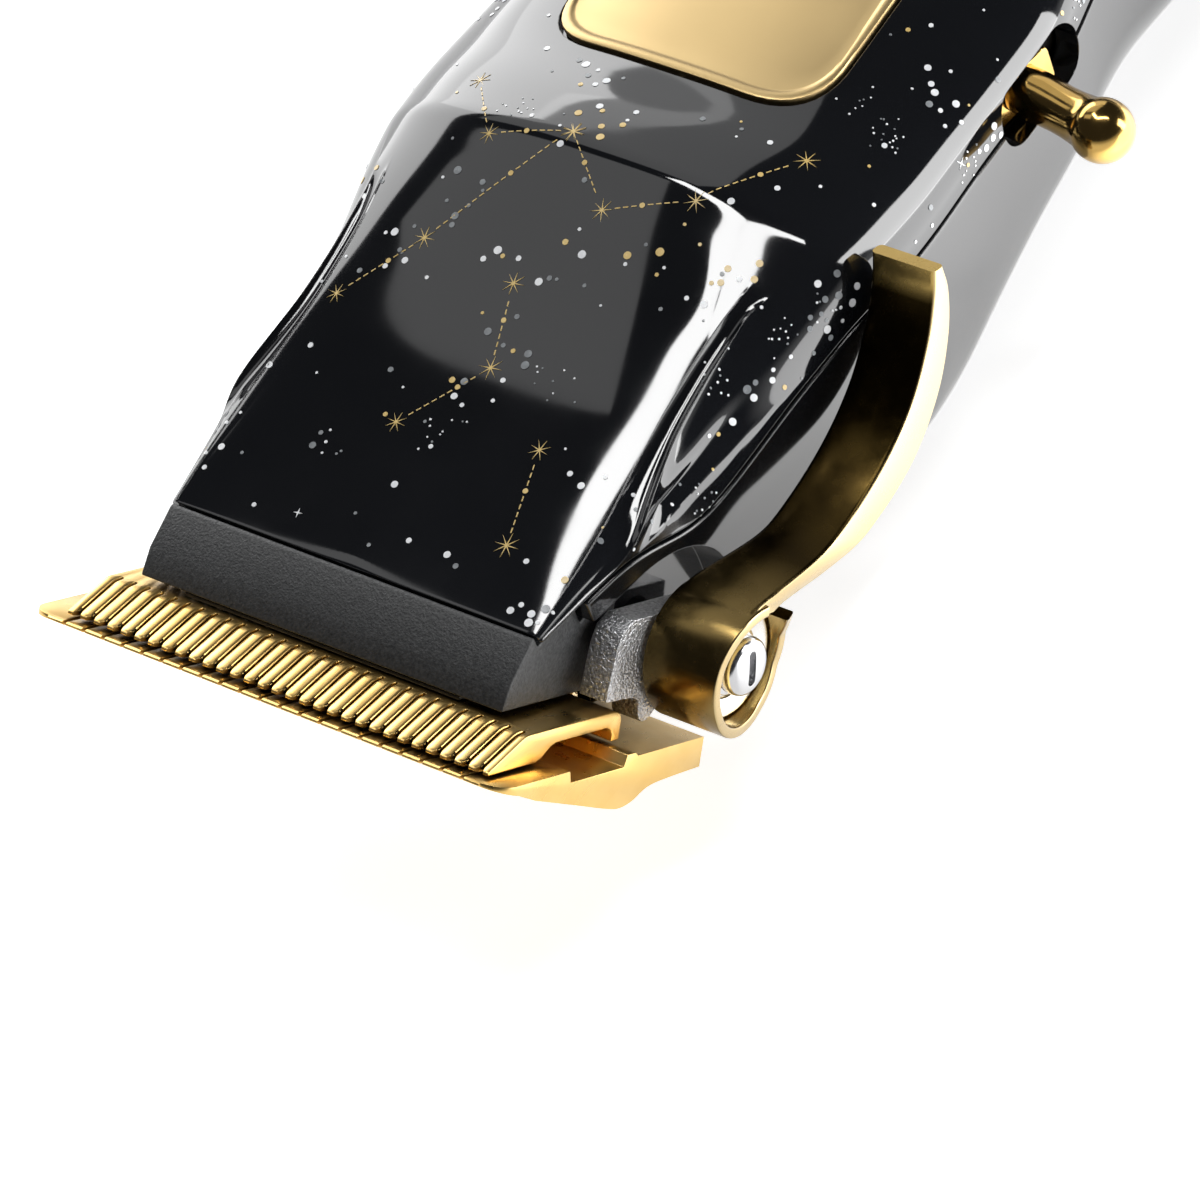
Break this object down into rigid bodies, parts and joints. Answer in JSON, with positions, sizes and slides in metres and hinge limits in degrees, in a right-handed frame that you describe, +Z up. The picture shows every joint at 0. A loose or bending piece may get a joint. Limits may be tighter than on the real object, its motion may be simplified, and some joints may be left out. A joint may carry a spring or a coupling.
{
  "type": "hair clipper",
  "caption": "Cordless hair clipper with a toothed blade set, a side taper lever, a side toggle switch, a domed lid with a metal plate and a charging inlet at the rear.",
  "frame": {"origin": "centre of the flat under the belly, on which the clipper lies", "axes": "+X across the blades towards the taper lever, +Y along the handle from the blades to the charging end, +Z up out of the lid"},
  "size_m": [0.0566, 0.1653, 0.0362],
  "materials": {
    "gloss_black": "piano black gloss with a small star print on the lid",
    "matte_charcoal": "fine-grained matte",
    "gold_blade": "titanium-gold plated ground steel",
    "gold_polished": "polished gold plate",
    "gold_satin": "satin brushed gold",
    "cast_metal": "rough die-cast",
    "steel": "bright turned steel",
    "black_rubber": "matte rubber",
    "grey_plastic": "moulded nylon",
    "board_green": "solder-masked circuit board",
    "battery_wrap": "shrink-wrapped steel can",
    "lens": "clear light window"
  },
  "bodies": {
    "housing": {"lower_shell": "gloss_black", "lid": "gloss_black", "rear_cap": "gloss_black", "badge_plate": "gold_satin", "nose_cover": "matte_charcoal", "charging_socket": "steel", "charge_light": "lens", "lever_bracket": "cast_metal", "switch_gasket": "black_rubber", "switch_body": "grey_plastic", "circuit_board": "board_green", "motor_can": "steel", "motor_end_cap": "grey_plastic", "motor_mount": "grey_plastic", "battery_cell": "battery_wrap", "battery_cradle": "grey_plastic", "battery_contact_front": "steel", "battery_contact_rear": "steel", "housing_screw_front_left": "steel", "housing_screw_front_right": "steel", "housing_screw_rear_left": "steel", "housing_screw_rear_right": "steel", "fixed_blade": "gold_blade", "blade_screw_left": "steel", "blade_screw_right": "steel", "tension_spring": "steel"},
    "lever": {"taper_lever": "gold_polished", "lever_shaft": "steel", "lever_dish_washer": "steel", "lever_washer": "steel", "lever_screw": "steel"},
    "guide": {"cutter_guide": "matte_charcoal"},
    "cutter": {"moving_blade": "gold_blade", "drive_yoke": "grey_plastic"},
    "rotor": {"motor_shaft": "steel", "eccentric_cam": "grey_plastic"},
    "switch": {"switch_toggle": "gold_polished"}
  },
  "joints": [
    {"name": "lever_turn", "type": "hinge", "parent": "housing", "child": "lever", "pos_m": [0.025, -0.0311, 0.0162], "axis": [1, 0, 0], "range_deg": [-45, 0]},
    {"name": "taper_adjust", "type": "slide", "parent": "housing", "child": "guide", "axis": [0, 0.7771, -0.6293], "range_m": [0, 0.0016]},
    {"name": "cutter_stroke", "type": "slide", "parent": "guide", "child": "cutter", "axis": [1, 0, 0], "range_m": [-0.00184, 0.00075]},
    {"name": "rotor_spin", "type": "hinge", "parent": "housing", "child": "rotor", "pos_m": [0, -0.02, 0.017], "axis": [0, 1, 0], "continuous": true},
    {"name": "switch_throw", "type": "hinge", "parent": "housing", "child": "switch", "pos_m": [0.017, 0.0215, 0.0261], "axis": [0, 0, 1], "range_deg": [0, 20]}
  ],
  "couplings": [
    {"joint": "lever_turn", "follows": "taper_adjust", "rad_per_m": -490.2}
  ]
}
